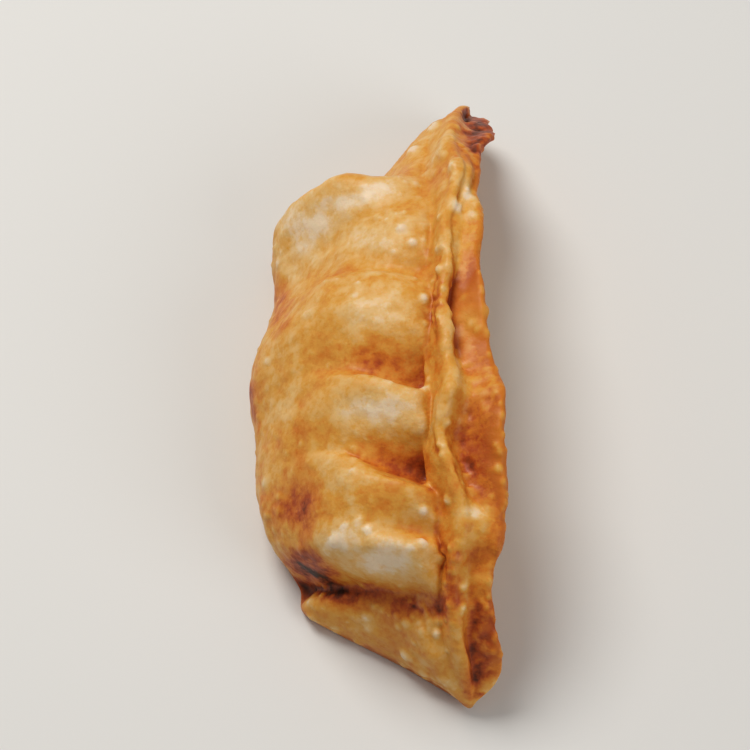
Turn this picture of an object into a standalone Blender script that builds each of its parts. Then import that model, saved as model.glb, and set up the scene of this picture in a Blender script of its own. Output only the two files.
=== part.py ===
"""A pan-fried gyoza: one half-moon dumpling, standing on the flat side that was fried in the pan.

The dumpling lies along Y, with its near tip at -Y. Its pleated front faces -X, and its seam leans over the
back, towards +X. Units are metres, +Z is up, and the origin is on the ground under the middle of the box.
"""
import math
import random
from dataclasses import dataclass

import bmesh
import bpy
from mathutils import Vector, noise

MM = 0.001


@dataclass
class Pleat:
    """A valley across the front: its place along Y at the seam and at its low end, its depth, and its reach.

    The reach is the part of the way from the seam to the foot that it crosses. A ridge has a negative depth.
    The two slopes are the widths of its far side and of its near side.
    """
    at_seam: float
    at_end: float
    depth: float
    reach: float
    slopes: tuple

    def value(self, y, u):
        offset = y - mix(self.at_seam, self.at_end, u / self.reach)
        slope = self.slopes[0] if offset > 0 else self.slopes[1]
        return self.depth * hump(offset, slope) * smooth_step(1.1 * (1 - u / self.reach))


@dataclass
class Swelling:
    """A rounded change along the dumpling: where it is along Y, how large, and how far it spreads."""
    at: float
    size: float
    spread: float

    def value(self, y):
        return self.size * hump(y - self.at, self.spread)


# Driving dimensions
LENGTH = 87.0 * MM
SEAM_HEIGHT = 21.8 * MM
SEAM_OFFSET = 6.6 * MM
FOOT_REACH = 12.6 * MM
HEEL_REACH = 8.8 * MM
BELLY_BULGE = 9.3 * MM
BACK_BULGE = 2.8 * MM
HALF = LENGTH / 2

# The tips: the seam comes down to them and bends a little to the back, and they curl up off the ground
TIP_SEAM_HEIGHT = 1.6 * MM
TIP_SEAM_BEND = 4.9 * MM
TIP_ROUND = 3.2 * MM
TIP_LIFT = 1.4 * MM
TIP_LIFT_START = 33.0 * MM
TIP_LIFT_RUN = 10.0 * MM

# The front edge of the base is an arc, which turns in to the tips where the filling ends. The back edge is
# straight, and tucked in at both ends. The base is never narrower than under the wings and at the tips.
FOOT_WIDEST_AT = 1.0 * MM
FOOT_ARC_RADIUS = 150.0 * MM
NEAR_TURN = -29.6 * MM
NEAR_TURN_RUN = 12.6 * MM
NEAR_TURN_EASE = 0.14
FAR_TURN = 22.0 * MM
TIP_FOOT = 11.2 * MM
HEEL_TUCK = 3.2 * MM
HEEL_TUCK_START = 22.0 * MM
HEEL_TUCK_RUN = 13.0 * MM
WING_BASE = 3.4 * MM
TIP_BASE = 1.2 * MM

# Where the filling ends, and how far in it takes to reach its full height: each at the seam and at the foot
NEAR_FILLING = (-35.0 * MM, -26.5 * MM)
NEAR_SHOULDER = (4.5 * MM, 7.0 * MM)
FAR_FILLING = (22.5 * MM, 32.5 * MM)
FAR_SHOULDER = (8.0 * MM, 7.0 * MM)

# The filling is a little thinner on the far side of the middle, and fuller below the middle fold
FILLING_CHANGES = (
    Swelling(at=13.5 * MM, size=-2.8 * MM, spread=9.5 * MM),
    Swelling(at=-4.5 * MM, size=1.0 * MM, spread=4.5 * MM),
)

# Past the filling the wrapper is pressed flat into a wing, which has a lobe at its foot on the near side.
# A deep crease parts the belly from the near wing.
WING_BULGE = 2.1 * MM
WING_LOBE = Swelling(at=-31.2 * MM, size=2.2 * MM, spread=3.2 * MM)
END_CREASE_DEPTH = 1.9 * MM
END_CREASE_SPREAD = 2.2 * MM

# The ridge of the far end, then the valleys from there to the near side. The edge of the next fold stands up
# beside each deep valley.
PLEATS = (
    Pleat(at_seam=25.0 * MM, at_end=15.0 * MM, depth=-1.3 * MM, reach=0.95, slopes=(2.4 * MM, 2.0 * MM)),
    Pleat(at_seam=20.0 * MM, at_end=9.0 * MM, depth=1.5 * MM, reach=0.85, slopes=(3.2 * MM, 3.0 * MM)),
    Pleat(at_seam=5.6 * MM, at_end=8.5 * MM, depth=2.2 * MM, reach=0.70, slopes=(3.0 * MM, 1.9 * MM)),
    Pleat(at_seam=-9.8 * MM, at_end=-8.0 * MM, depth=4.8 * MM, reach=0.54, slopes=(4.8 * MM, 1.2 * MM)),
    Pleat(at_seam=-13.6 * MM, at_end=-12.5 * MM, depth=-1.2 * MM, reach=0.60, slopes=(1.6 * MM, 3.2 * MM)),
    Pleat(at_seam=-21.8 * MM, at_end=-17.0 * MM, depth=5.2 * MM, reach=0.58, slopes=(4.6 * MM, 1.2 * MM)),
    Pleat(at_seam=-25.4 * MM, at_end=-21.0 * MM, depth=-1.4 * MM, reach=0.62, slopes=(1.6 * MM, 2.6 * MM)),
    Pleat(at_seam=-28.4 * MM, at_end=-28.0 * MM, depth=1.8 * MM, reach=0.46, slopes=(1.8 * MM, 1.4 * MM)),
    Pleat(at_seam=-32.0 * MM, at_end=-31.0 * MM, depth=-1.7 * MM, reach=0.44, slopes=(2.0 * MM, 2.4 * MM)),
)

# The folds lie over towards the far side, and the near end of the belly hangs over the wing
FOLD_OVERLAP = 2.6 * MM
END_OVERHANG = 3.2 * MM
OVERHANG_TURN = (-22.0 * MM, -31.0 * MM)

# The seam is a thick flange of two pressed layers, which part into two lips at its top
FLANGE_LEAN = math.radians(42)
FAR_EXTRA_LEAN = math.radians(8)
NEAR_LESS_LEAN = math.radians(14)
FLANGE_HALF_AT_ROOT = 1.7 * MM
FLANGE_HALF_AT_TOP = 2.6 * MM
FRONT_ATTACHED = 1.8 * MM
ATTACHED_DIP = 0.4
FRONT_LIP = 5.2 * MM
BACK_LIP = 7.0 * MM
LIP_ROUND = 0.8 * MM
NEAR_LIP_SHRINK = 0.40
FAR_LIP_SHRINK = 0.36
FRONT_LIP_RISE = Swelling(at=22.0 * MM, size=1.6 * MM, spread=8.0 * MM)
BACK_LIP_RISE = Swelling(at=-16.5 * MM, size=1.9 * MM, spread=9.0 * MM)
BACK_LIP_FLARES = (
    Swelling(at=-40.0 * MM, size=1.0 * MM, spread=4.0 * MM),
    Swelling(at=-16.5 * MM, size=2.1 * MM, spread=9.0 * MM),
    Swelling(at=17.5 * MM, size=-0.9 * MM, spread=4.0 * MM),
    Swelling(at=34.0 * MM, size=1.3 * MM, spread=6.0 * MM),
)

# The groove between the lips opens in these places. Beyond the middle the seam stays shut up to the far horn,
# and a ridge bridges the groove on the near side.
GROOVES = (
    Swelling(at=38.0 * MM, size=1.6 * MM, spread=6.0 * MM),
    Swelling(at=-1.0 * MM, size=2.2 * MM, spread=9.0 * MM),
    Swelling(at=-18.5 * MM, size=2.9 * MM, spread=6.0 * MM),
    Swelling(at=-27.5 * MM, size=-1.0 * MM, spread=1.8 * MM),
    Swelling(at=-32.0 * MM, size=1.0 * MM, spread=2.4 * MM),
    Swelling(at=-40.0 * MM, size=2.6 * MM, spread=4.0 * MM),
)

# Blisters that the hot oil raises in the dough
BLISTERS = 46
BLISTER_RADIUS = (1.9 * MM, 2.8 * MM)
BLISTER_RISE = 0.20
LOWEST_BLISTER = 3.0 * MM
RANDOM_SEED = 7

# Points around one section, and sections along the dumpling
FRONT_POINTS = 25
BASE_POINTS = 6
BACK_POINTS = 9
FLANGE_SIDE_STEPS = (0.26, 0.52, 0.78)
LIP_POINTS = 4
GROOVE_STEPS = (0.44, 0.56)
FLANGE_POINTS = 2 * len(FLANGE_SIDE_STEPS) + 2 * LIP_POINTS + len(GROOVE_STEPS)
AROUND = FRONT_POINTS + BASE_POINTS + BACK_POINTS + FLANGE_POINTS
SECTIONS = 88
TIP_SECTIONS = 5
FIRST_POINT_TURN = math.radians(100)
NEAR_CROWDING = 1.12


def clamp(value, low=0.0, high=1.0):
    return max(low, min(high, value))


def smooth_step(value):
    t = clamp(value)
    return t * t * (3 - 2 * t)


def quarter_round(value):
    """Rises from 0 to 1 as a quarter circle does, steep at first, so its start is a crease."""
    t = clamp(value)
    return math.sqrt(1 - (1 - t) ** 2)


def hump(distance, spread):
    return math.exp(-((distance / spread) ** 2))


def mix(a, b, share):
    return a + (b - a) * share


def along(y):
    """0 at the middle of the dumpling and 1 at either tip."""
    return min(abs(y) / HALF, 1.0)


def uneven(y, wave, track):
    """A factor around 0, from about -1 to 1, that varies smoothly along the dumpling."""
    return noise.noise(Vector((y / wave, track, 0.5))) * 2


def seam_root(y):
    """Where the flange grows out of the body, as (x, z)."""
    t = along(y)
    height = mix(TIP_SEAM_HEIGHT, SEAM_HEIGHT, (1 - t**2.5) ** 0.75)
    return Vector((SEAM_OFFSET + TIP_SEAM_BEND * t**4, height))


def base_height(y):
    """The base is flat on the ground, and the two tips curl up a little."""
    return TIP_LIFT * smooth_step((abs(y) - TIP_LIFT_START) / TIP_LIFT_RUN)


def foot(y):
    """The front edge of the fried base, as (x, z)."""
    arc = -FOOT_REACH + (y - FOOT_WIDEST_AT) ** 2 / (2 * FOOT_ARC_RADIUS)
    turned = clamp((NEAR_TURN - y) / NEAR_TURN_RUN)
    near_turn = turned**2 * (1 + NEAR_TURN_EASE) / (turned + NEAR_TURN_EASE)
    far_turn = clamp((y - FAR_TURN) / (HALF - FAR_TURN))
    return Vector((mix(arc, TIP_FOOT, near_turn + far_turn), base_height(y)))


def heel(y):
    """The back edge of the fried base, as (x, z)."""
    tucked = HEEL_REACH - HEEL_TUCK * smooth_step((abs(y) - HEEL_TUCK_START) / HEEL_TUCK_RUN)
    thinnest = mix(WING_BASE, TIP_BASE, smooth_step((abs(y) - TIP_LIFT_START) / TIP_LIFT_RUN))
    return Vector((max(tucked, foot(y).x + thinnest), base_height(y)))


def filled(y, s):
    """How far the filling swells the wrapper: s is 0 at the seam and 1 at the foot."""
    near = quarter_round((y - mix(*NEAR_FILLING, s)) / mix(*NEAR_SHOULDER, s))
    far = quarter_round((mix(*FAR_FILLING, s) - y) / mix(*FAR_SHOULDER, s))
    return near * far


def dome(s, start=0.55):
    """A full, rounded bulge between two edges, at s from 0 to 1. A start nearer to 1 makes it rise gently."""
    return (1 - abs(2 * s - 1) ** 2.4) ** mix(start, 0.55, smooth_step(s / 0.4))


def pleat_depth(y, u):
    """How far the pleats draw the front in, at u of the way from the seam to the foot."""
    return sum(pleat.value(y, u) for pleat in PLEATS)


def front_attached(y):
    """How far up the flange the filled front reaches: less far in the pleats."""
    dip = ATTACHED_DIP * max(0.0, pleat_depth(y, 0))
    return lip_size(y) * filled(y, 0) * max(0.2 * MM, FRONT_ATTACHED - dip)


def front_point(y, u):
    """A point of the pleated front: u is 0 at the seam and 1 at the foot."""
    s = mix(u, (1 - math.cos(math.pi * u)) / 2, 0.8)
    rise, across = flange_axes(y)
    top = seam_root(y) - across * FLANGE_HALF_AT_ROOT + rise * front_attached(y)
    chord = foot(y) - top
    outward = math.atan2(-chord.x, chord.y) + math.radians(34) * (s - 0.45)
    fullness = filled(y, s)
    changes = sum(change.value(y) for change in FILLING_CHANGES)
    belly = (BELLY_BULGE * (1 + 0.10 * uneven(y, 11 * MM, 2)) + changes) * fullness
    wing = WING_BULGE + WING_LOBE.value(y) * smooth_step((u - 0.3) / 0.5)
    pleats = pleat_depth(y, u) * max(fullness, 0.3) * smooth_step(u / 0.12)
    end_crease = END_CREASE_DEPTH * hump(y - mix(*NEAR_FILLING, s), END_CREASE_SPREAD) * smooth_step(u / 0.35)
    swell = math.hypot(belly, wing) * dome(s, 0.75) - (pleats + end_crease) * smooth_step((1 - u) / 0.15)
    return top + chord * s + Vector((math.cos(outward), math.sin(outward))) * swell


def back_point(y, s):
    """A point of the smooth back: s is 0 at the heel and 1 at the seam."""
    _, across = flange_axes(y)
    top = seam_root(y) + across * FLANGE_HALF_AT_ROOT
    chord = top - heel(y)
    outward = Vector((chord.y, -chord.x)).normalized()
    swell = BACK_BULGE * (1 + 0.25 * uneven(y, 14 * MM, 6)) * filled(y, 1 - s) * dome(s)
    return heel(y) + chord * s + outward * swell


def flange_axes(y):
    """The way the flange rises, and the way across it from its front to its back."""
    lean = FLANGE_LEAN + math.radians(5) * uneven(y, 9 * MM, 1)
    lean += FAR_EXTRA_LEAN * smooth_step((y - 24 * MM) / (15 * MM))
    lean -= NEAR_LESS_LEAN * smooth_step((-30 * MM - y) / (12 * MM))
    return Vector((math.sin(lean), math.cos(lean))), Vector((math.cos(lean), -math.sin(lean)))


def lip_size(y):
    """The lips get smaller towards the tips, and less so at the far one, which stands up as a horn."""
    shrink = NEAR_LIP_SHRINK if y < 0 else FAR_LIP_SHRINK
    return 1 - shrink * smooth_step((along(y) - 0.62) / 0.38)


def flange(y):
    """The flange's outline in three runs: its front face, its two lips with the groove, and its back face."""
    root = seam_root(y)
    rise, across = flange_axes(y)
    size = lip_size(y)
    front_top = FRONT_LIP * size * (1 + 0.16 * uneven(y, 6 * MM, 4)) + FRONT_LIP_RISE.value(y) - LIP_ROUND
    back_top = BACK_LIP * size * (1 + 0.10 * uneven(y, 7 * MM, 5)) + BACK_LIP_RISE.value(y) - LIP_ROUND
    front_side = -FLANGE_HALF_AT_TOP * (1 + 0.10 * uneven(y, 8 * MM, 8))
    back_side = FLANGE_HALF_AT_TOP * (1 + 0.10 * uneven(y, 8 * MM, 9))
    back_side += sum(flare.value(y) for flare in BACK_LIP_FLARES)
    groove_bottom = mix(front_top, back_top, 0.2) + LIP_ROUND - sum(groove.value(y) for groove in GROOVES)

    def at(sideways, up):
        return root + across * sideways + rise * up

    def lip(middle, height, start, end):
        """A rounded lip, drawn as an arc over its crest from one angle to the other."""
        turns = [math.radians(mix(start, end, i / (LIP_POINTS - 1))) for i in range(LIP_POINTS)]
        return [at(middle + LIP_ROUND * math.cos(t), height + LIP_ROUND * math.sin(t)) for t in turns]

    back_face = [at(mix(FLANGE_HALF_AT_ROOT, back_side, t), back_top * t) for t in FLANGE_SIDE_STEPS]
    back_lip = lip(back_side - LIP_ROUND, back_top, 0, 150)
    groove = [at(mix(back_side, front_side, t), groove_bottom) for t in GROOVE_STEPS]
    front_lip = lip(front_side + LIP_ROUND, front_top, 30, 180)
    steps_down = FLANGE_SIDE_STEPS[::-1]
    low = front_attached(y)
    front_face = [at(mix(-FLANGE_HALF_AT_ROOT, front_side, t), mix(low, front_top, t)) for t in steps_down]
    return front_face, back_face, back_lip + groove + front_lip


def section(y):
    """One closed outline of (x, z) points across the dumpling: front, base, back, then the flange."""
    front_face, back_face, lips = flange(y)
    front = [front_point(y, i / (FRONT_POINTS - 1)) for i in range(FRONT_POINTS)]
    base = [foot(y).lerp(heel(y), (i + 1) / (BASE_POINTS + 1)) for i in range(BASE_POINTS)]
    back = [back_point(y, i / (BACK_POINTS - 1)) for i in range(BACK_POINTS)]
    return front_face + front + base + back + back_face + lips


def fold_shift(x, y, z):
    """How far a point of the swollen front leans along Y, the more so the further it stands out."""
    chord = Vector((SEAM_OFFSET + FOOT_REACH, SEAM_HEIGHT)).normalized()
    height = max(0.0, (z - SEAM_HEIGHT) * chord.x - (x - SEAM_OFFSET) * chord.y)
    turn = smooth_step((y - OVERHANG_TURN[0]) / (OVERHANG_TURN[1] - OVERHANG_TURN[0]))
    return mix(FOLD_OVERLAP, -END_OVERHANG, turn) * (height / BELLY_BULGE) ** 2


def tip_size(y):
    """Sections shrink over the last few millimetres, which rounds the two tips."""
    inside = clamp((HALF - abs(y)) / TIP_ROUND)
    return math.sqrt(1 - (1 - inside) ** 2)


def station(ring):
    """The place along Y of a section: a few round off each tip, and the rest crowd to the near side."""
    from_tip = min(ring, SECTIONS - ring)
    if from_tip < TIP_SECTIONS:
        turn = math.pi / 2 * from_tip / TIP_SECTIONS
        return math.copysign(HALF - TIP_ROUND * (1 - math.cos(turn)), ring - SECTIONS / 2)
    share = (ring - TIP_SECTIONS) / (SECTIONS - 2 * TIP_SECTIONS)
    return (HALF - TIP_ROUND) * (2 * share**NEAR_CROWDING - 1)


def rounded_section(y):
    """A section, shrunk and turned into a circle as it gets to a tip."""
    outline = section(y)
    middle = sum(outline, Vector((0, 0))) / len(outline)
    radius = sum((point - middle).length for point in outline) / len(outline)
    size = tip_size(y)
    roundness = smooth_step((1 - size) / 0.8)
    rounded = []
    for i, point in enumerate(outline):
        turn = FIRST_POINT_TURN + 2 * math.pi * i / AROUND
        on_circle = Vector((math.cos(turn), math.sin(turn))) * radius
        rounded.append(middle + (point - middle).lerp(on_circle, roundness) * size)
    return rounded


def shape_ball(ball):
    """Pulls a ball of dough into the dumpling: its rings become the sections."""
    outlines = {}
    for vertex in ball.verts:
        ring = round(math.acos(clamp(vertex.co.z, -1.0, 1.0)) / math.pi * SECTIONS)
        turn = math.atan2(vertex.co.y, vertex.co.x) / (2 * math.pi)
        y = station(ring)
        if ring not in outlines:
            outlines[ring] = rounded_section(y)
        point = outlines[ring][round(turn * AROUND) % AROUND]
        vertex.co = Vector((point.x, y + fold_shift(point.x, y, point.y), point.y))


def raise_blisters(ball):
    """Lifts small round blisters all over, except on the base and the tips."""
    draw = random.Random(RANDOM_SEED)
    ball.normal_update()
    skin = [v for v in ball.verts if v.co.z > LOWEST_BLISTER and abs(v.co.y) < HALF - TIP_ROUND]
    for _ in range(BLISTERS):
        centre = draw.choice(skin).co.copy()
        radius = draw.uniform(*BLISTER_RADIUS)
        for vertex in skin:
            distance = (vertex.co - centre).length / radius
            if distance < 1:
                vertex.co += vertex.normal * radius * BLISTER_RISE * (1 - distance**2) ** 2


def centre_on_origin(ball):
    """Moves the dumpling sideways, so that the origin is under the middle of its box."""
    for axis in (0, 1):
        places = [vertex.co[axis] for vertex in ball.verts]
        middle = (min(places) + max(places)) / 2
        for vertex in ball.verts:
            vertex.co[axis] -= middle


def fried_dough():
    """Golden fried dough with a little oil on it."""
    material = bpy.data.materials.new("fried_dough")
    material.use_nodes = True
    shader = material.node_tree.nodes["Principled BSDF"]
    shader.inputs["Base Color"].default_value = (0.57, 0.27, 0.07, 1)
    shader.inputs["Roughness"].default_value = 0.42
    shader.inputs["Metallic"].default_value = 0.0
    return material


def make_gyoza(collection):
    ball = bmesh.new()
    bmesh.ops.create_uvsphere(ball, u_segments=AROUND, v_segments=SECTIONS, radius=1)
    shape_ball(ball)
    raise_blisters(ball)
    centre_on_origin(ball)
    mesh = bpy.data.meshes.new("gyoza")
    ball.to_mesh(mesh)
    ball.free()
    mesh.shade_smooth()
    mesh.materials.append(fried_dough())
    gyoza = bpy.data.objects.new("gyoza", mesh)
    collection.objects.link(gyoza)
    return gyoza


def main():
    for old in list(bpy.data.objects):
        bpy.data.objects.remove(old)
    collection = bpy.data.collections.new("pan_fried_gyoza")
    bpy.context.scene.collection.children.link(collection)
    make_gyoza(collection)


main()
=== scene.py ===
# %% [markdown]
# # A pan-fried gyoza
#
# A gyoza is a thin round of dough, folded over its filling and pressed shut along a curved seam. The front is
# gathered into pleats, the back stays smooth, and the flat underside is fried brown in a pan. This lesson
# dresses one such dumpling: its plain solid gives the size and the main folds, and the steps below add what
# hot oil does to dough, which is blisters, crinkles, crisp lips and uneven browning. Some shade in the folds
# and some highlights on their tops are painted into the colour as well.

# %% Load the plain dumpling
import math
import random
from collections import namedtuple

import bmesh
import bpy
import numpy as np
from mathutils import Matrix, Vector, kdtree, noise
from mathutils.bvhtree import BVHTree


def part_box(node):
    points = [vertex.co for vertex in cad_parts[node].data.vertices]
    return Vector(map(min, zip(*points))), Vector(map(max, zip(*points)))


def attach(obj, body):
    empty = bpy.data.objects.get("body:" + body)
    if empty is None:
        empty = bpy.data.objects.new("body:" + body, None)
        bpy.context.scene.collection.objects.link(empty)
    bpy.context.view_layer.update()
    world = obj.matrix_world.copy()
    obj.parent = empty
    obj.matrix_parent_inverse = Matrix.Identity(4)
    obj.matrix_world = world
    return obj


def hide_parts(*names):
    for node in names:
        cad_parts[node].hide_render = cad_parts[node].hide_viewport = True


MM = 0.001
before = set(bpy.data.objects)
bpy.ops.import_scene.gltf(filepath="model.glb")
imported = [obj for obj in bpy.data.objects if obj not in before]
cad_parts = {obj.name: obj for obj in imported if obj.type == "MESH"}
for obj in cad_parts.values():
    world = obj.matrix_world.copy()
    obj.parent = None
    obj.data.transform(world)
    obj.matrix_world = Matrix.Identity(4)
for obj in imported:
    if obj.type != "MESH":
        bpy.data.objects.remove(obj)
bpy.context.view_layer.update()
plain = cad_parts["gyoza"]
low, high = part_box("gyoza")
print("plain dumpling, mm:", [round(side / MM, 1) for side in high - low])

# %% [markdown]
# ## A smooth, fine skin
#
# The plain solid is made of flat triangles about a millimetre across, too coarse for blisters of that size. A
# copy of it could be remeshed into voxels, but that melts the thin lips together. Joining the triangles back
# into four-sided faces and subdividing them twice keeps the run of the folds, and rounds the skin between
# them.

# %% Merge, join and subdivide a copy
SKIN_LEVELS = 2
MERGE_GAP = 0.001 * MM
JOIN_ANGLE = math.radians(60)


def smooth_skin(mesh, levels):
    """Returns a finer mesh on the same surface."""
    skin = bmesh.new()
    skin.from_mesh(mesh)
    bmesh.ops.remove_doubles(skin, verts=skin.verts, dist=MERGE_GAP)
    bmesh.ops.join_triangles(
        skin, faces=skin.faces, angle_face_threshold=JOIN_ANGLE, angle_shape_threshold=JOIN_ANGLE
    )
    coarse = bpy.data.meshes.new("coarse_skin")
    skin.to_mesh(coarse)
    skin.free()
    holder = bpy.data.objects.new("coarse_skin", coarse)
    bpy.context.scene.collection.objects.link(holder)
    finer = holder.modifiers.new("finer", "SUBSURF")
    finer.levels = levels
    finer.render_levels = levels
    evaluated = holder.evaluated_get(bpy.context.evaluated_depsgraph_get())
    fine = bpy.data.meshes.new_from_object(evaluated)
    bpy.data.objects.remove(holder)
    return fine


skin_mesh = smooth_skin(plain.data, SKIN_LEVELS)
print("fine skin:", len(skin_mesh.vertices), "points,", len(skin_mesh.polygons), "faces")

# %% [markdown]
# ## Tools for working the skin
#
# Most later steps move points along the skin's normal, by an amount that depends on where the point is. Numpy
# keeps all the points in one array, so a step is one line. Two measures are used again and again: the normal
# at each point, and the average over each point's neighbours, which smooths whatever is averaged.

# %% Points, normals and neighbours
class Skin:
    """The points of a mesh as arrays, with what is needed to push them about."""

    def __init__(self, mesh):
        self.mesh = mesh
        self.points = np.empty(len(mesh.vertices) * 3)
        mesh.vertices.foreach_get("co", self.points)
        self.points = self.points.reshape(-1, 3)
        ends = np.empty(len(mesh.edges) * 2, dtype=np.int64)
        mesh.edges.foreach_get("vertices", ends)
        self.edges = ends.reshape(-1, 2)
        self.degree = np.bincount(ends, minlength=len(self.points))

    def store(self):
        self.mesh.vertices.foreach_set("co", self.points.ravel())
        self.mesh.update()

    def normals(self):
        self.store()
        found = np.empty(len(self.points) * 3, dtype=np.float32)
        self.mesh.vertex_normals.foreach_get("vector", found)
        return found.reshape(-1, 3).astype(float)

    def push(self, amounts):
        """Moves each point along its normal, by its own amount in metres."""
        self.points += self.normals() * amounts[:, None]

    def averaged(self, values, rounds):
        """Blends each point's value with its neighbours' mean, over and over."""
        first, second = self.edges.T
        values = values.reshape(len(self.points), -1)
        for _ in range(rounds):
            total = np.empty_like(values)
            for column in range(values.shape[1]):
                track = values[:, column]
                total[:, column] = np.bincount(first, track[second], len(track))
                total[:, column] += np.bincount(second, track[first], len(track))
            values = (values + total / self.degree[:, None]) / 2
        return values.squeeze()


def step(values, start, end):
    """0 below start and 1 above end, with a smooth rise between them."""
    share = np.clip((values - start) / (end - start), 0, 1)
    return share * share * (3 - 2 * share)


skin = Skin(skin_mesh)
spacing = np.linalg.norm(skin.points[skin.edges[:, 0]] - skin.points[skin.edges[:, 1]], axis=1)
print("mean spacing, mm:", round(float(spacing.mean()) / MM, 2))

# %% [markdown]
# ## A flat base again
#
# The plain base is a few long faces that run from edge to edge, and subdividing turns those into a shallow
# hollow, so that the dumpling would stand on its rim. Dough that was fried on one side is flat there. So
# whatever faces down close to the ground is pressed onto it, and the effect fades out round the edge.

# %% Press the base onto the ground
BASE_REACH = (1.0 * MM, 2.0 * MM)
BASE_FACING = (0.35, 0.80)
ON_GROUND = 0.01 * MM
pressed = step(-skin.normals()[:, 2], *BASE_FACING) * (1 - step(skin.points[:, 2], *BASE_REACH))
skin.points[:, 2] *= 1 - pressed
print("points on the ground:", int((skin.points[:, 2] < ON_GROUND).sum()))

# %% [markdown]
# ## Finding the lips, the folds and the seam
#
# A cook sees at once which dough is thin and which is tucked away. The script finds out by shooting rays. One
# ray from each point into the dough says how thick it is there: the pressed lips and wings are thin. A fan of
# rays out of the dough says how much of the sky is blocked: deep in a pleat most rays soon hit the next fold.
# The middle of the pressed seam follows from where the thin dough stands highest, slice by slice. Each point
# then knows how far it lies to the back of the seam, and how high up.

# %% Shoot rays in and out
THIN = 3.4 * MM
THICKEST = 20 * MM
SKIN_GAP = 0.05 * MM
SIGHT = 7.0 * MM
SKY_RAYS = 14
SLICE = 1.5 * MM
SEAM_SMOOTHING = 5
TOP_WEIGHT = 8
TINY = 1e-9
THIN_BLUR = 6


def sky_directions(count):
    """Directions spread evenly over the half sphere above +Z, weighted to the middle as light is."""
    golden = math.pi * (3 - math.sqrt(5))
    rays = []
    for index in range(count):
        radius = math.sqrt((index + 0.5) / count)
        turn = index * golden
        rays.append(Vector((radius * math.cos(turn), radius * math.sin(turn), math.sqrt(1 - radius**2))))
    return rays


def measure(skin):
    """Returns how thin the dough is at each point, and how far it is tucked away, both from 0 to 1."""
    normals = skin.normals()
    tree = BVHTree.FromPolygons(skin.points.tolist(), [tuple(face.vertices) for face in skin.mesh.polygons])
    rays = sky_directions(SKY_RAYS)
    depths = np.zeros(len(normals))
    tucked = np.zeros(len(normals))
    for index, (place, normal) in enumerate(zip(skin.points, normals)):
        start = Vector(place)
        up = Vector(normal)
        depth = tree.ray_cast(start - up * SKIN_GAP, -up, THICKEST)[3]
        depths[index] = THICKEST if depth is None else depth
        turn = up.to_track_quat("Z", "Y")
        for ray in rays:
            reach = tree.ray_cast(start + up * SKIN_GAP, turn @ ray, SIGHT)[3]
            tucked[index] += 0 if reach is None else (1 - reach / SIGHT) / SKY_RAYS
    return 1 - step(depths, THIN / 2, THIN), tucked


def seam_places(points, thin):
    """How far each point is behind the middle of the seam, and its height as a share of the seam's."""
    slices = np.round((points[:, 1] - points[:, 1].min()) / SLICE).astype(int)
    tops = np.zeros(slices.max() + 1)
    np.maximum.at(tops, slices, points[:, 2])
    level = points[:, 2] / tops[slices]
    weight = thin * level**TOP_WEIGHT
    middles = np.bincount(slices, weight * points[:, 0]) / np.bincount(slices, weight + TINY)
    padded = np.pad(middles, SEAM_SMOOTHING // 2, mode="edge")
    smooth = np.convolve(padded, np.ones(SEAM_SMOOTHING) / SEAM_SMOOTHING, mode="valid")
    return points[:, 0] - smooth[slices], level


thin, tucked = measure(skin)
thin = skin.averaged(thin, THIN_BLUR)
beyond, level = seam_places(skin.points, thin)
print("thin share:", round(float((thin > 0.5).mean()), 2), " most tucked:", round(float(tucked.max()), 2))

# %% [markdown]
# ## Sharper folds
#
# Subdividing rounds everything a little, while real folds meet in a sharp line. A darkroom trick helps:
# compare each point with a blurred copy of the skin, and move it further away from the blur. Ridges rise,
# valleys sink and flat places stay. The fried base stays flat, so the effect fades out close to the ground.
# It also fades out at both tips, which are so thin that their two sides would cross. Where the belly runs
# into the front lip the dough is soft and round, so there the points move towards the blur instead.

# %% Move points away from their blur
FOLD_BLUR = 20
FOLD_GAIN = 0.40
THIN_HOLDS = 0.6
GUTTER_BLUR = 60
GUTTER_SHARE = 0.8
GUTTER_PLACE = -3.2 * MM
GUTTER_SPREAD = 1.7 * MM
GUTTER_LEVEL = (0.4, 0.7)
BASE_FADE = (0.3 * MM, 2.2 * MM)
TIP_FADE = (0.6 * MM, 4.0 * MM)
above_base = step(skin.points[:, 2], *BASE_FADE)
off_tips = step(high.y - np.abs(skin.points[:, 1]), *TIP_FADE)
by_the_lip = np.exp(-(((beyond - GUTTER_PLACE) / GUTTER_SPREAD) ** 2)) * step(level, *GUTTER_LEVEL)
blurred = skin.averaged(skin.points, FOLD_BLUR)
gain = FOLD_GAIN * above_base * off_tips * (1 - THIN_HOLDS * thin) * (1 - by_the_lip)
moves = (skin.points - blurred) * gain[:, None]
softened = skin.averaged(skin.points, GUTTER_BLUR)
moves += (softened - skin.points) * GUTTER_SHARE * by_the_lip[:, None]
skin.points += moves
print("moved points by up to", round(float(np.linalg.norm(moves, axis=1).max() / MM), 2), "mm")

# %% [markdown]
# ## Lumps, crinkles and ragged lips
#
# Dough is never even. Lumps a few millimetres wide show where the filling presses from inside. Fine crinkles
# run from the seam down the pleats, because the wrapper is gathered there. The lips are crisp and a little
# ragged, and hot oil leaves a fine grain all over. Smooth noise gives all four: stretched along the folds for
# the crinkles, and even for the others. Deep in a narrow gap there is no room for it between the two walls.

# %% Push the skin with noise
LUMP = 0.30 * MM
LUMP_SIZE = 6 * MM
SMALL_LUMP_SIZE = 2.8 * MM
CRINKLE = 0.16 * MM
CRINKLE_SIZE = 2.0 * MM
ALONG_FOLDS = (0.28, 1, 0.28)
RAGGED = 0.34 * MM
RAGGED_SIZE = 1.9 * MM
GRAIN = 0.09 * MM
GRAIN_SIZE = 1.1 * MM
GAP_TUCKED = (0.35, 0.65)


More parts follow.
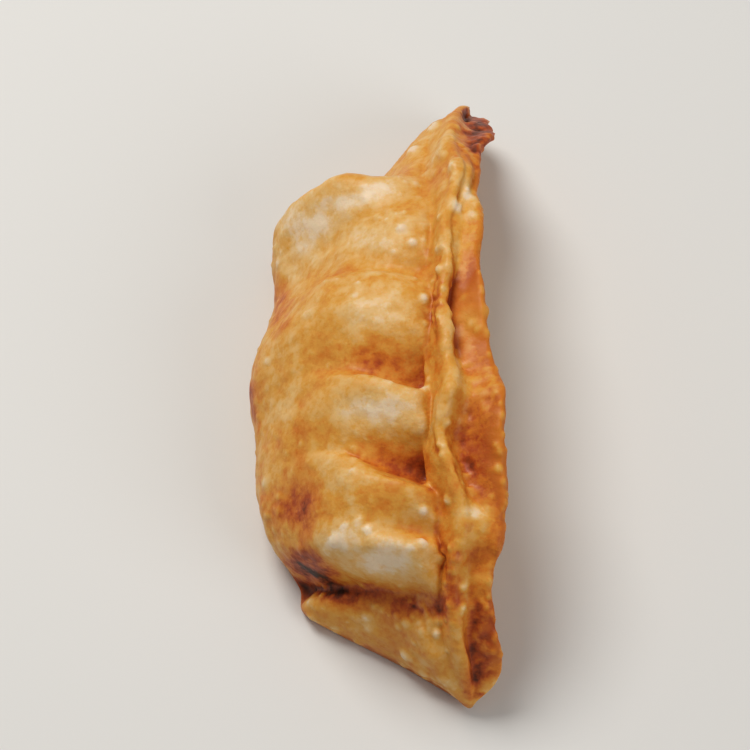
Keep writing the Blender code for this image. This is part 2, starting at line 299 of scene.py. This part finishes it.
def noise_field(points, size, stretch=(1, 1, 1), seed=0.0):
    """A smooth value from about -1 to 1 at each point, with lumps of about this size in metres."""
    scaled = points / size * np.array(stretch)
    return np.array([noise.noise(Vector(place) + Vector((seed, seed, seed))) for place in scaled])


lumps = noise_field(skin.points, LUMP_SIZE, seed=3.1)
lumps += noise_field(skin.points, SMALL_LUMP_SIZE, seed=8.7) / 2
crinkles = noise_field(skin.points, CRINKLE_SIZE, stretch=ALONG_FOLDS, seed=5.5)
ragged = noise_field(skin.points, RAGGED_SIZE, seed=1.3)
grain = noise_field(skin.points, GRAIN_SIZE, seed=12.9)
pushes = LUMP * lumps * (1 - thin) + CRINKLE * crinkles + RAGGED * ragged * thin + GRAIN * grain
room = 1 - step(tucked, *GAP_TUCKED)
skin.push(pushes * above_base * off_tips * room)
print("lumps, crinkles and ragged lips are in")

# %% [markdown]
# ## Blisters
#
# Water in the dough turns to steam and lifts the skin into blisters, in patches and along the thin lips. Each
# one is a low round dome. Some show clearly on the front of this dumpling, so they have set places, in
# millimetres across and up the picture that the camera sees, and a radius in millimetres. All others are
# drawn at random, from a fixed seed so that every run is alike. The skin around each place is lifted along
# that place's own normal, and less so at the tips and close to the ground.

# %% Raise blisters of many sizes
BLISTER_SEED = 11
BLISTER_KINDS = (
    {"count": 26, "radius": (1.0 * MM, 1.6 * MM), "rise": 0.18},
    {"count": 110, "radius": (0.7 * MM, 1.0 * MM), "rise": 0.26},
    {"count": 460, "radius": (0.45 * MM, 0.7 * MM), "rise": 0.28},
)
VIEW_TILT = math.radians(60)
TO_CAMERA = np.array([0, -math.cos(VIEW_TILT), math.sin(VIEW_TILT)])
PICTURE_UP = np.array([0, math.sin(VIEW_TILT), math.cos(VIEW_TILT)])
KNOWN_RISE = 0.40
KNOWN_RIPENESS = 1.0
RANDOM_RIPENESS = 0.5
DOME_ROUNDNESS = 1.5
SIDEWAYS_COST = 20
Blister = namedtuple("Blister", "across up radius")
KNOWN_BLISTERS = (
    Blister(7.7, 37.2, 1.4), Blister(4.8, 33.8, 1.3), Blister(9.8, 30.8, 1.3), Blister(9.8, 25.6, 1.4),
    Blister(4.7, 21.1, 0.8), Blister(7.7, 19.9, 0.8), Blister(7.7, 17.3, 0.9), Blister(6.0, 13.6, 1.1),
    Blister(6.0, 2.4, 1.0), Blister(8.5, -10.9, 0.9), Blister(5.6, -12.1, 0.9), Blister(14.6, -7.1, 0.8),
    Blister(-3.9, -14.2, 0.8), Blister(-1.0, -14.6, 0.8), Blister(-5.2, -16.2, 1.1), Blister(5.6, -16.2, 1.0),
    Blister(8.1, -18.3, 0.9), Blister(10.4, -21.6, 0.9), Blister(10.4, -24.1, 0.8), Blister(-1.2, -25.8, 0.9),
    Blister(7.3, -27.4, 0.8), Blister(3.4, -30.4, 1.0),
)


class Blisterer:
    """Lifts round blisters out of a skin, and keeps how pale that leaves each point, from 0 to 1."""

    def __init__(self, skin, freedom):
        self.skin = skin
        self.freedom = freedom
        self.normals = skin.normals()
        self.lifted = np.zeros(len(skin.points))
        self.tree = kdtree.KDTree(len(skin.points))
        for index, place in enumerate(skin.points):
            self.tree.insert(place, index)
        self.tree.balance()

    def lift(self, index, radius, rise, ripeness):
        for _, other, distance in self.tree.find_range(self.skin.points[index], radius):
            dome = (1 - min(distance / radius, 1) ** 2) ** DOME_ROUNDNESS
            self.skin.points[other] += self.normals[index] * radius * rise * dome * self.freedom[other]
            self.lifted[other] = max(self.lifted[other], dome * ripeness)

    def lift_known(self, blisters, rise):
        """Lifts each blister where the camera sees its place: at the nearest point to the camera there."""
        picture = np.stack([self.skin.points[:, 0], self.skin.points @ PICTURE_UP], axis=1)
        nearness = self.skin.points @ TO_CAMERA
        for blister in blisters:
            gap = np.linalg.norm(picture - np.array([blister.across, blister.up]) * MM, axis=1)
            nearest = int(np.argmax(nearness - SIDEWAYS_COST * gap))
            self.lift(nearest, blister.radius * MM, rise, KNOWN_RIPENESS)

    def lift_random(self, kinds, weights, seed):
        draw = random.Random(seed)
        order = range(len(self.skin.points))
        for kind in kinds:
            for index in draw.choices(order, weights=weights, k=kind["count"]):
                self.lift(index, draw.uniform(*kind["radius"]), kind["rise"], RANDOM_RIPENESS)


PATCH_SIZE = 7 * MM
PATCH_EDGE = (-0.05, 0.35)
CHANCE_ANYWHERE = 0.06
CHANCE_IN_PATCH = 0.60
CHANCE_WHERE_THIN = 0.55
bubbly = step(noise_field(skin.points, PATCH_SIZE, seed=21.0), *PATCH_EDGE)
weights = (CHANCE_ANYWHERE + CHANCE_IN_PATCH * bubbly + CHANCE_WHERE_THIN * thin) * above_base * room
blisterer = Blisterer(skin, np.sqrt(above_base) * off_tips)
blisterer.lift_known(KNOWN_BLISTERS, KNOWN_RISE)
blisterer.lift_random(BLISTER_KINDS, weights.tolist(), BLISTER_SEED)
blister = blisterer.lifted
print("points on a blister:", round(float((blister > 0.1).mean()), 2))

# %% [markdown]
# ## Back into the plain dumpling's box
#
# Blisters and sharper folds reach a little past the plain solid. The dumpling's size is settled by that
# solid, so the skin is drawn back into its box, by the same factor everywhere along each direction.

# %% Fit the skin to the box
def fit_to_box(points, low, high):
    """Scales and moves the points, so that they just fill the box."""
    start = points.min(axis=0)
    size = points.max(axis=0) - start
    return np.array(low) + (points - start) / size * (np.array(high) - np.array(low))


skin.points = fit_to_box(skin.points, low, high)
print("skin box, mm:", np.round(np.ptp(skin.points, axis=0) / MM, 1))

# %% [markdown]
# ## Painting the measures on the skin
#
# The material needs to know where the folds, lips and blisters are. An attribute stores one number for each
# point, and a shader can read it by name. The folds are measured again on the finished skin, and the bulge of
# each place comes from comparing it with its blur: above 0 on a bump, and below 0 in a crease.

# %% Measure once more and store the attributes
BULGE_BLUR = 60
BULGE_FULL = 0.6 * MM
BULGE_SMOOTHING = 2
TUCKED_BLUR = 3
PAINT_THIN_BLUR = 8

thin, tucked = measure(skin)
tucked = skin.averaged(tucked, TUCKED_BLUR)
thin = skin.averaged(thin, PAINT_THIN_BLUR)
blurred = skin.averaged(skin.points, BULGE_BLUR)
bulge = ((skin.points - blurred) * skin.normals()).sum(axis=1) / BULGE_FULL
bulge = np.clip(skin.averaged(bulge, BULGE_SMOOTHING), -1, 1)


def store_attribute(mesh, name, values):
    mesh.attributes.new(name, "FLOAT", "POINT").data.foreach_set("value", values.astype(np.float32))


skin.store()
for name, values in {"thin": thin, "tucked": tucked, "bulge": bulge, "blister": blister}.items():
    store_attribute(skin_mesh, name, values)
    print(name, "from", round(float(values.min()), 2), "to", round(float(values.max()), 2))

# %% [markdown]
# ## Where this dumpling is pale or brown
#
# The measures brown any dumpling, but this one also has marks of its own. The red pockets in two pleats, the
# dark creases, hollows and near end, the reddish lower left and the red far flap are partly browning and
# partly painted shade, the nearly black pocket at the near end included. The pale far ridge and the pale
# tops of the folds are partly pale dough and partly a painted highlight, and some pale places are blisters.
# Each mark is a soft oval, placed as the camera sees it, in millimetres across and up the picture. The same
# tilt turns a point of the skin into those two numbers. A mark adds to the browning and shade where its last
# number is above 0, and takes from it below 0. The back lip is made much browner than the front one, all
# along.

# %% Paint the marks and the back lip
MARK_FACING = (-0.1, 0.25)
BACK_LIP_PLACE = (-0.2 * MM, 1.6 * MM)
BACK_LIP_LEVEL = (0.66, 0.86)
FRONT_LIP_SHARE = 0.3
FRONT_LIP_LEVEL = (0.75, 0.92)
Mark = namedtuple("Mark", "what across up wide tall brown")
# Painted shade as well as browning: the second and third pockets, the fourth fold, the red place low on the
# left, the side of the near end, the black pocket, the near crease, the line beside the last fold, the deep
# groove, the far flap and the hollow of the near tip. Painted highlight as well as pale dough: the far ridge,
# the top left edge and the first, second, third and last folds.
MARKS_SHADE_AND_HIGHLIGHTS = (
    Mark("far ridge, low end", -10.6, 17.2, 1.5, 2.0, -0.26),
    Mark("far ridge, left", -9.2, 20.8, 1.5, 2.0, -0.28),
    Mark("far ridge, bend", -7.2, 24.0, 1.7, 1.5, -0.30),
    Mark("far ridge, top", -4.0, 26.6, 2.4, 1.3, -0.30),
    Mark("far ridge, by the lip", 0.6, 28.2, 3.0, 1.3, -0.30),
    Mark("top left edge", -10.6, 24.6, 2.0, 2.4, -0.24),
    Mark("first fold", -2.4, 21.6, 4.6, 2.4, -0.20),
    Mark("gold below the first fold", -2.2, 16.4, 7.0, 1.5, 0.10),
    Mark("second fold", -0.3, 11.3, 5.0, 2.8, -0.22),
    Mark("second pocket", 1.1, 6.6, 4.6, 2.9, 0.29),
    Mark("third fold", -0.6, 0.0, 5.4, 1.9, -0.34),
    Mark("third pocket", 2.2, -6.2, 4.6, 2.1, 0.29),
    Mark("fourth fold", 1.1, -10.7, 4.5, 2.4, 0.11),
    Mark("blisters left of the last fold", -5.2, -15.9, 2.6, 1.6, -0.20),
    Mark("last fold", 1.6, -18.4, 3.5, 2.1, -0.44),
    Mark("rim of the last fold", 2.2, -22.0, 4.0, 1.0, 0.10),
    Mark("left side, middle", -10.6, -3.6, 3.8, 2.2, 0.16),
    Mark("red place low on the left", -9.2, -12.2, 3.2, 2.8, 0.42),
    Mark("side of the near end", -9.6, -18.6, 3.4, 2.6, 0.34),
    Mark("black pocket", -7.2, -20.6, 2.8, 2.0, 0.58),
    Mark("near crease, left", -2.8, -23.0, 4.6, 1.4, 0.50),
    Mark("near crease, right", 5.0, -24.0, 4.2, 1.4, 0.50),
    Mark("lobe of the wing", -7.9, -25.6, 2.2, 1.6, 0.12),
    Mark("edge low on the left, far", -12.6, 13.0, 2.2, 3.6, 0.28),
    Mark("edge low on the left, middle", -16.2, 1.0, 2.0, 4.8, 0.30),
    Mark("line beside the last fold", 9.2, -20.0, 1.4, 4.0, 0.34),
    Mark("front lip, far", 9.4, 26.4, 1.8, 5.0, 0.12),
    Mark("front lip, middle", 8.0, 11.9, 1.5, 5.0, 0.06),
    Mark("front lip, near", 9.0, -4.5, 1.6, 4.2, 0.16),
    Mark("deep groove", 11.7, -6.2, 1.2, 4.0, 0.14),
    Mark("bridge across the groove", 11.9, -12.4, 1.8, 0.9, -0.30),
    Mark("gold stretch of the back lip", 11.3, 10.3, 1.9, 3.6, -0.26),
    Mark("shut seam", 12.0, 26.6, 2.0, 5.4, -0.20),
    Mark("far flap", 12.9, 36.0, 2.6, 4.6, 0.40),
    Mark("back lip past the bridge", 12.2, -16.0, 2.4, 2.2, 0.22),
    Mark("back lip by the near tip", 12.4, -26.5, 2.0, 4.0, 0.20),
    Mark("hollow of the near tip", 12.4, -32.8, 1.4, 2.6, 0.34),
)


def painted(points, normals, marks):
    """How much darker or paler the marks paint each point that faces the camera."""
    across = points[:, 0] / MM
    up = points @ PICTURE_UP / MM
    total = np.zeros(len(points))
    for mark in marks:
        spread = ((across - mark.across) / mark.wide) ** 2 + ((up - mark.up) / mark.tall) ** 2
        total += mark.brown * np.exp(-spread)
    return total * step(normals @ TO_CAMERA, *MARK_FACING)


beyond, level = seam_places(skin.points, thin)
behind = step(beyond, *BACK_LIP_PLACE) * step(level, *BACK_LIP_LEVEL)
behind = np.maximum(behind, FRONT_LIP_SHARE * thin * step(level, *FRONT_LIP_LEVEL))
marks = painted(skin.points, skin.normals(), MARKS_SHADE_AND_HIGHLIGHTS)
store_attribute(skin_mesh, "behind", behind)
store_attribute(skin_mesh, "marks", marks)
print("marks from", round(float(marks.min()), 2), "to", round(float(marks.max()), 2))

# %% [markdown]
# ## The piece itself
#
# The finished skin becomes one object at the origin, which rides on the dumpling's body and stands in for the
# plain solid. Its shading is smooth everywhere, because dough has no hard edges.

# %% Make the object
skin_mesh.shade_smooth()
skin_mesh.materials.clear()
gyoza = bpy.data.objects.new("fried_gyoza", skin_mesh)
bpy.context.scene.collection.objects.link(gyoza)
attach(gyoza, "root")
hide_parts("gyoza")
print("triangles:", sum(len(face.vertices) - 2 for face in skin_mesh.polygons))

# %% [markdown]
# ## Shader maths as plain expressions
#
# A material is a graph of small nodes, and sums drawn as nodes are hard to read. This class wraps one output
# socket, so that an expression such as `1 - thin * 0.5` builds its own Math nodes. Any other node comes from
# its one method, `add`, which sets the node's settings first and then the values or links of its sockets.

# %% A socket that adds and multiplies
class Wire:
    """One output socket of a node tree."""

    def __init__(self, tree, socket=None):
        self.tree = tree
        self.socket = socket

    def add(self, kind, settings=None, sockets=None, output=0):
        node = self.tree.nodes.new(kind)
        for name, value in (settings or {}).items():
            if name == "stops":
                self.set_stops(node.color_ramp, value)
            else:
                setattr(node, name, value)
        for name, value in (sockets or {}).items():
            if isinstance(value, Wire):
                self.tree.links.new(value.socket, node.inputs[name])
            else:
                node.inputs[name].default_value = value
        return Wire(self.tree, node.outputs[output])

    @staticmethod
    def set_stops(ramp, stops):
        while len(ramp.elements) < len(stops):
            ramp.elements.new(1)
        for element, (place, colour) in zip(ramp.elements, stops):
            element.position = place
            element.color = (*colour, 1)

    def maths(self, operation, *values):
        return self.add("ShaderNodeMath", {"operation": operation}, dict(enumerate(values)))

    def __add__(self, other):
        return self.maths("ADD", self, other)

    def __sub__(self, other):
        return self.maths("SUBTRACT", self, other)

    def __rsub__(self, other):
        return self.maths("SUBTRACT", other, self)

    def __mul__(self, other):
        return self.maths("MULTIPLY", self, other)

    __radd__ = __add__
    __rmul__ = __mul__

    def at_most(self, limit):
        return self.maths("MINIMUM", self, limit)

    def between(self, start, end):
        """0 where this is below start, 1 above end, and smooth in between."""
        settings = {"interpolation_type": "SMOOTHSTEP"}
        return self.add("ShaderNodeMapRange", settings, {"Value": self, "From Min": start, "From Max": end})


print("shader maths is ready")

# %% [markdown]
# ## Fried dough
#
# Fried dough runs from pale straw through gold and orange to red-brown. Thin, crisp dough browns first. Bumps
# are paler, partly as dough that browned less and partly as a painted sheen, and the colour deepens in the
# folds, partly as browning and partly as painted shade where the folds hide the sky. So the material adds up
# one number, how brown and how shaded each place is, and a colour ramp turns it into a colour. Where many
# causes meet they would add up to black, so their sum has a limit, and only this dumpling's own marks, with
# their painted shade and highlights, go past it. The same noise that browns a place also makes it rougher
# or oilier. Bubbles much smaller than the modelled blisters are left to a bump.

# %% Mix the browning, the colour and the bumps
# The darkest stops are reached only through the marks, where they add painted shade to the browning.
DOUGH_AND_SHADE_COLOURS = (
    (0.00, (0.82, 0.64, 0.43)),
    (0.18, (0.76, 0.47, 0.17)),
    (0.36, (0.70, 0.33, 0.050)),
    (0.54, (0.62, 0.19, 0.018)),
    (0.72, (0.42, 0.072, 0.010)),
    (0.88, (0.17, 0.028, 0.006)),
    (1.00, (0.035, 0.011, 0.005)),
)
MOST_EVEN_BROWN_AND_SHADE = 0.66


def fried_dough():
    material = bpy.data.materials.new("fried_dough_crisp")
    material.use_nodes = True
    tree = material.node_tree
    shader = tree.nodes["Principled BSDF"]
    board = Wire(tree)

    def attribute(name):
        return board.add("ShaderNodeAttribute", {"attribute_name": name}, output=2)

    place = board.add("ShaderNodeTexCoord", output=3)

    def noise_at(scale, detail=3.0, roughness=0.55):
        sockets = {"Vector": place, "Scale": scale, "Detail": detail, "Roughness": roughness}
        return board.add("ShaderNodeTexNoise", None, sockets)

    blotches = noise_at(95, 3).between(0.34, 0.68)
    patches = noise_at(260, 4, 0.6).between(0.36, 0.66)
    mottle = noise_at(620, 3, 0.6).between(0.38, 0.64)
    speckle = noise_at(1300, 2, 0.6).between(0.45, 0.72)
    pits = noise_at(2600, 2, 0.6)

    thin = attribute("thin")
    bulge = attribute("bulge")
    blister = attribute("blister")
    behind = attribute("behind")
    height = board.add("ShaderNodeSeparateXYZ", None, {"Vector": place}, output=2)
    near_pan = 1 - (height + patches * 1.5 * MM).between(0.4 * MM, 4.0 * MM)
    # The folds are darkened where they hide the sky: partly browning, partly painted shade.
    fold = attribute("tucked").between(0.16, 0.60)

    brown = 0.15 + blotches * 0.14 + patches * 0.12 + mottle * 0.11 + speckle * 0.06
    brown = brown + fold * 0.34 + thin * 0.14 + behind * 0.38 + near_pan * 0.34
    brown = brown.at_most(MOST_EVEN_BROWN_AND_SHADE)
    # The marks add painted shade and highlights besides browning, and bumps are made paler, partly as dough
    # that browned less and partly as a painted sheen.
    brown = brown + attribute("marks") * (patches * 0.5 + 0.75) - bulge * 0.12 - blister * 0.30
    colour = board.add("ShaderNodeValToRGB", {"stops": DOUGH_AND_SHADE_COLOURS}, {"Fac": brown})
    tree.links.new(colour.socket, shader.inputs["Base Color"])

    roughness = 0.45 + patches * 0.14 + speckle * 0.10 - blister * 0.08
    tree.links.new(roughness.socket, shader.inputs["Roughness"])
    oil = (blotches * 0.20 + blister * 0.30 + 0.05) * (1 - behind * 0.8)
    tree.links.new(oil.socket, shader.inputs["Coat Weight"])
    shader.inputs["Coat Roughness"].default_value = 0.28
    shader.inputs["Specular IOR Level"].default_value = 0.18
    shader.inputs["Subsurface Weight"].default_value = 0.15
    shader.inputs["Subsurface Radius"].default_value = (1.0, 0.45, 0.16)
    shader.inputs["Subsurface Scale"].default_value = 1.2 * MM

    bubbles = board.add(
        "ShaderNodeTexVoronoi", {"feature": "SMOOTH_F1"}, {"Vector": place, "Scale": 900, "Smoothness": 0.4}
    )
    bubble_domes = 1 - bubbles.between(0.1, 0.7)
    relief = bubble_domes * 0.5 + pits * 0.35 + speckle * 0.25 - mottle * 0.5
    bump = board.add("ShaderNodeBump", None, {"Height": relief, "Strength": 0.5, "Distance": 0.12 * MM})
    tree.links.new(bump.socket, shader.inputs["Normal"])
    return material


gyoza.data.materials.append(fried_dough())
print("fried dough nodes:", len(gyoza.active_material.node_tree.nodes))

# %% [markdown]
# ## Floor, light and camera
#
# The dumpling stands on a plain pale floor. A large soft light from the far left makes the sheen on the far
# side of each fold and leaves the near side darker, and a dim one from the near right fills the shadows. The
# camera looks down at 60 degrees along +Y, as a person at a table does. The marks and the known blisters were
# placed for that same tilt, and the camera's long lens keeps the far end from shrinking.

# %% Build the stage
FLOOR_SIZE = 3.0
CAMERA_LENS = 150
FRAME_FILL = 0.84
HEIGHT_SHARE = 0.35
AIM_NEARER = 3 * MM


def make_floor():
    sheet = bmesh.new()
    bmesh.ops.create_grid(sheet, x_segments=1, y_segments=1, size=FLOOR_SIZE / 2)
    mesh = bpy.data.meshes.new("floor")
    sheet.to_mesh(mesh)
    sheet.free()
    material = bpy.data.materials.new("pale_floor")
    material.use_nodes = True
    shader = material.node_tree.nodes["Principled BSDF"]
    shader.inputs["Base Color"].default_value = (0.72, 0.72, 0.71, 1)
    shader.inputs["Roughness"].default_value = 0.6
    mesh.materials.append(material)
    floor = bpy.data.objects.new("floor", mesh)
    bpy.context.scene.collection.objects.link(floor)
    return floor


def aim(thing, place, target):
    """Puts a lamp or camera somewhere and turns it to look at the target."""
    thing.location = place
    thing.rotation_euler = (Vector(place) - Vector(target)).to_track_quat("Z", "Y").to_euler()


def add_softbox(name, place, target, size, power, colour):
    light = bpy.data.lights.new(name, "AREA")
    light.shape = "DISK"
    light.size = size
    light.energy = power
    light.color = colour
    lamp = bpy.data.objects.new(name, light)
    bpy.context.scene.collection.objects.link(lamp)
    aim(lamp, place, target)


centre = (low + high) / 2
make_floor()
add_softbox("key", (-0.20, 0.26, 0.54), centre, size=0.34, power=2.85, colour=(1.0, 0.97, 0.92))
add_softbox("fill", (0.45, -0.30, 0.35), centre, size=0.40, power=1.1, colour=(1.0, 0.97, 0.94))

world = bpy.data.worlds.new("studio")
bpy.context.scene.world = world
world.use_nodes = True
world.node_tree.nodes["Background"].inputs["Color"].default_value = (1.0, 0.97, 0.93, 1)
world.node_tree.nodes["Background"].inputs["Strength"].default_value = 0.26
bpy.context.scene.view_settings.view_transform = "Standard"

camera_data = bpy.data.cameras.new("camera")
camera_data.lens = CAMERA_LENS
camera = bpy.data.objects.new("camera", camera_data)
bpy.context.scene.collection.objects.link(camera)
bpy.context.scene.camera = camera
away = Vector(TO_CAMERA)
seen_height = (high.y - low.y) * away.z + (high.z - low.z) * -away.y * HEIGHT_SHARE
distance = seen_height / FRAME_FILL * CAMERA_LENS / camera_data.sensor_width
target = centre - Vector((0, AIM_NEARER, 0))
aim(camera, target + away * distance, target)
print("camera distance, mm:", round(distance / MM))

# %% [markdown]
# ## Finish
#
# The dressed dumpling may not outgrow its plain solid, so both boxes were printed above.

# %% Finish
print("finished")
